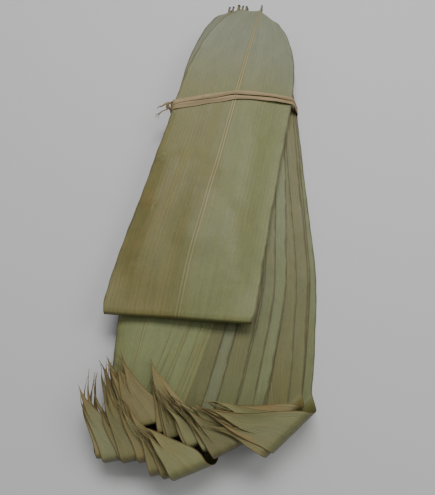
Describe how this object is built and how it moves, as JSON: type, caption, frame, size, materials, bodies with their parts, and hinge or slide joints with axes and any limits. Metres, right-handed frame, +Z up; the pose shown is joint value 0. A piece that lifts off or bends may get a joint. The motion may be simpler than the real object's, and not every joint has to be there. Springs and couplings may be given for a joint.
{
  "type": "bundle of dried bamboo leaves",
  "caption": "Flat bundle of long dried bamboo leaves lying down, their tips folded back over the far end, tied across near the stem ends with a strip of straw.",
  "frame": {"origin": "middle of the bundle's footprint, on the surface that it lies on", "axes": "+Y along the leaves towards the cut stem ends, +Z up out of the surface, +X to the right with the stem ends away from the viewer"},
  "size_m": [0.1852, 0.4466, 0.0389],
  "materials": {
    "olive_blade": "dull dried leaf with fine lengthwise veins",
    "green_blade": "dull dried leaf with fine lengthwise veins",
    "dark_blade": "dull dried leaf with fine lengthwise veins",
    "grey_blade": "dull dried leaf with fine lengthwise veins",
    "tan_blade": "dull dried leaf with fine lengthwise veins",
    "straw": "dull twisted straw with lengthwise fibres"
  },
  "bodies": {
    "root": {"cover_leaf_01": "olive_blade", "cover_leaf_02": "green_blade", "cover_leaf_03": "dark_blade", "cover_leaf_04": "grey_blade", "cover_leaf_05": "tan_blade", "cover_leaf_06": "olive_blade", "cover_leaf_07": "green_blade", "cover_leaf_08": "dark_blade", "long_leaf_01": "olive_blade", "long_leaf_02": "olive_blade", "long_leaf_03": "grey_blade", "long_leaf_04": "tan_blade", "long_leaf_05": "tan_blade", "long_leaf_06": "grey_blade", "long_leaf_07": "tan_blade", "long_leaf_08": "tan_blade", "long_leaf_09": "tan_blade", "long_leaf_10": "grey_blade", "long_leaf_11": "dark_blade", "long_leaf_12": "olive_blade", "long_leaf_13": "green_blade", "long_leaf_14": "green_blade", "long_leaf_15": "green_blade", "long_leaf_16": "dark_blade", "long_leaf_17": "tan_blade", "long_leaf_18": "tan_blade", "long_leaf_19": "green_blade", "long_leaf_20": "dark_blade", "long_leaf_21": "tan_blade", "long_leaf_22": "olive_blade", "long_leaf_23": "green_blade", "long_leaf_24": "olive_blade", "long_leaf_25": "tan_blade", "long_leaf_26": "grey_blade", "long_leaf_27": "dark_blade", "long_leaf_28": "dark_blade", "long_leaf_29": "tan_blade", "long_leaf_30": "olive_blade", "long_leaf_31": "dark_blade", "long_leaf_32": "green_blade", "tie_strip": "straw"}
  },
  "joints": []
}
